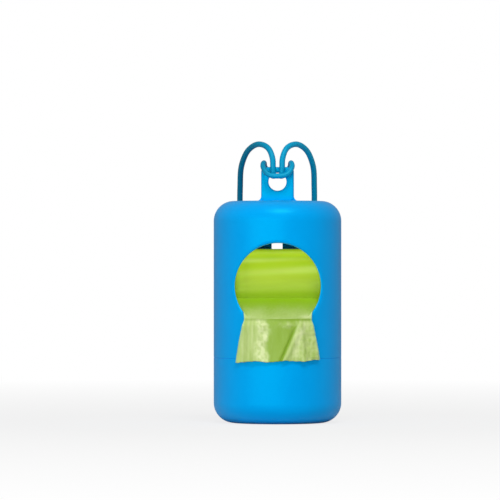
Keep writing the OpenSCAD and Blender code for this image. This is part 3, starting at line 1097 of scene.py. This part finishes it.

# %% [markdown]
# Loose film is milky: a single layer hardly colours the light. The numbers that are stored on
# the mesh say where it is pale, where its layers stack deep or lie in painted shade, where its
# edge is painted lit, and where it still looks like the roll, with the roll's painted glow and
# shade. Each of them mixes in its own green.

# %% Loose film
film_finish = new_finish("loose_green_film")
crinkle = film_finish.cloud(0.8, detail=4, stretch=(1.4, 1, 0.5))
film_turns = film_finish.cloud(0.28, detail=3, stretch=(0.25, 1, 1))
pale_share = film_finish.limited(film_finish.stored("pale") + (crinkle - 0.5) * 0.35, 0, 1)
loose_colour = film_finish.colour(pale_share, paint(158, 194, 70), paint(228, 242, 174))
# layers that stack, and painted shade in creases and folds
deep_share = film_finish.stored("deep")
shaded_colour = film_finish.colour(deep_share, loose_colour, paint(128, 168, 22))
# painted light: the side edges are painted paler
painted_edge_light = film_finish.stored("edge") * 0.7
edge_lit_colour = film_finish.colour(painted_edge_light, shaded_colour, paint(186, 236, 176))
# painted shade: where the film is still on the roll, low down it is painted deeper
film_wound_colour = wound_green(film_finish, film_finish.stored("under"), film_turns)
film_colour = film_finish.colour(film_finish.stored("wound"), edge_lit_colour, film_wound_colour)
film_material = film_finish.done(
    Base_Color=film_colour,
    Roughness=film_finish.limited(0.28 + crinkle * 0.3, 0.2, 0.7),
    Normal=film_finish.relief(crinkle, 0.18 * MM, 0.5),
    Specular_IOR_Level=0.35,
    # painted light: an emission where the film still lies on the roll's lit front
    Emission_Color=glow_through(film_finish, film_finish.stored("glow"), film_colour),
    Emission_Strength=PAINTED_GLOW_STRENGTH,
)

# %% [markdown]
# The pieces from the packed model come with a plain material, and the new ones with none. Each
# gets its finish now, in place of whatever it had.

# %% Finishes go onto their pieces
def dress(piece, material):
    piece.data.materials.clear()
    piece.data.materials.append(material)


wardrobe = (
    (nodes["housing_shell"], case_material), (nodes["base_cap"], case_material),
    (nodes["roll_carrier"], carrier_material), (nodes["roll_spindle"], spindle_material),
    (nodes["roll_core"], core_material), (wrist_cord, cord_material),
    (cord_ferrule, ferrule_material), (wound_film, roll_material), (next_bag, film_material),
)
for piece, material in wardrobe:
    dress(piece, material)
print("dressed", len(wardrobe), "pieces")

# %% [markdown]
# The stage is a pale floor that all but vanishes and keeps the case's soft shadow. It is a
# mixture: to the camera it shows mostly a white of its own, and otherwise matt grey, which the
# lamps light and the case shades. Further away the white takes over altogether. Everything but
# the camera sees the matt grey alone, so that the white doesn't light the case from below.

# %% The floor
FLOOR_RADIUS = 6.0
FLOOR_Z = -0.02 * MM
RIM_STEPS = 96
FLOOR_GREY = 0.60
WHITE_NEAR = 0.80
WHITE_GAINED = 0.20
FADE_START = 0.10
FADE_PER_METRE = 2.2


def stage_disc(name, radius, z):
    angles = [2 * math.pi * i / RIM_STEPS for i in range(RIM_STEPS)]
    rim = [(radius * math.cos(angle), radius * math.sin(angle), z) for angle in angles]
    mesh = bpy.data.meshes.new(name)
    mesh.from_pydata(rim, [], [tuple(range(RIM_STEPS))])
    disc = bpy.data.objects.new(name, mesh)
    scene.collection.objects.link(disc)
    return disc


floor = stage_disc("floor", FLOOR_RADIUS, FLOOR_Z)
floor_finish = new_finish("pale_floor")
seen = floor_finish.node("ShaderNodeLightPath", output="Is Camera Ray")
grey = (FLOOR_GREY, FLOOR_GREY, FLOOR_GREY, 1)
matt = floor_finish.node("ShaderNodeBsdfDiffuse", None, {"Color": grey})
white = floor_finish.node("ShaderNodeEmission", None, {"Color": (1, 1, 1, 1), "Strength": 1.0})
away = floor_finish.node(
    "ShaderNodeVectorMath", {"operation": "LENGTH"}, {0: floor_finish.place()}, output="Value"
)
far = floor_finish.limited((away - FADE_START) * FADE_PER_METRE, 0, 1)
white_share = seen * (WHITE_NEAR + far * WHITE_GAINED)
floor_surface = floor_finish.node(
    "ShaderNodeMixShader", None, {0: white_share, 1: matt, 2: white}
)
floor_finish.node("ShaderNodeOutputMaterial", None, {"Surface": floor_surface})
dress(floor, floor_finish.owner)
print("floor of", 2 * FLOOR_RADIUS, "m across")

# %% [markdown]
# The light is plain studio light: one large soft lamp from the front and the left, and a
# smaller one high up that draws the highlight on the shoulder of the case. Both aim at the
# middle of the case.

# %% Lamps
AIM = Vector((0, 0, 55)) * MM


def soft_lamp(name, place_mm, size_mm, watts):
    lamp = bpy.data.lights.new(name, "AREA")
    lamp.shape = "RECTANGLE"
    lamp.size, lamp.size_y = (s * MM for s in size_mm)
    lamp.energy = watts
    holder = bpy.data.objects.new(name, lamp)
    holder.location = Vector(place_mm) * MM
    holder.rotation_euler = (AIM - holder.location).to_track_quat("-Z", "Y").to_euler()
    scene.collection.objects.link(holder)
    print(name, "is", round((AIM - holder.location).length, 2), "m from the case")


soft_lamp("high_softbox", (80, -560, 885), (420, 200), 4.4)
soft_lamp("front_softbox", (-420, -1090, 120), (1300, 420), 6.8)

# %% [markdown]
# A bright room fills in the shadows from all sides. The camera sees it as plain white, while
# everything else is lit by a third of that, so that a white background doesn't wash out the
# colours.

# %% The surround
ROOM_LIGHT = 0.33
SEEN_LIGHT = 1.0

surround = Finish(bpy.data.worlds.new("bright_surround"))
scene.world = surround.owner
seen = surround.node("ShaderNodeLightPath", output="Is Camera Ray")
room, shown = (
    surround.node("ShaderNodeBackground", None, {"Color": (1, 1, 1, 1), "Strength": strength})
    for strength in (ROOM_LIGHT, SEEN_LIGHT)
)
either = surround.node("ShaderNodeMixShader", None, {0: seen, 1: room, 2: shown})
surround.node("ShaderNodeOutputWorld", None, {"Surface": either})
print("the room lights with", ROOM_LIGHT, "and shows as", SEEN_LIGHT)

# %% [markdown]
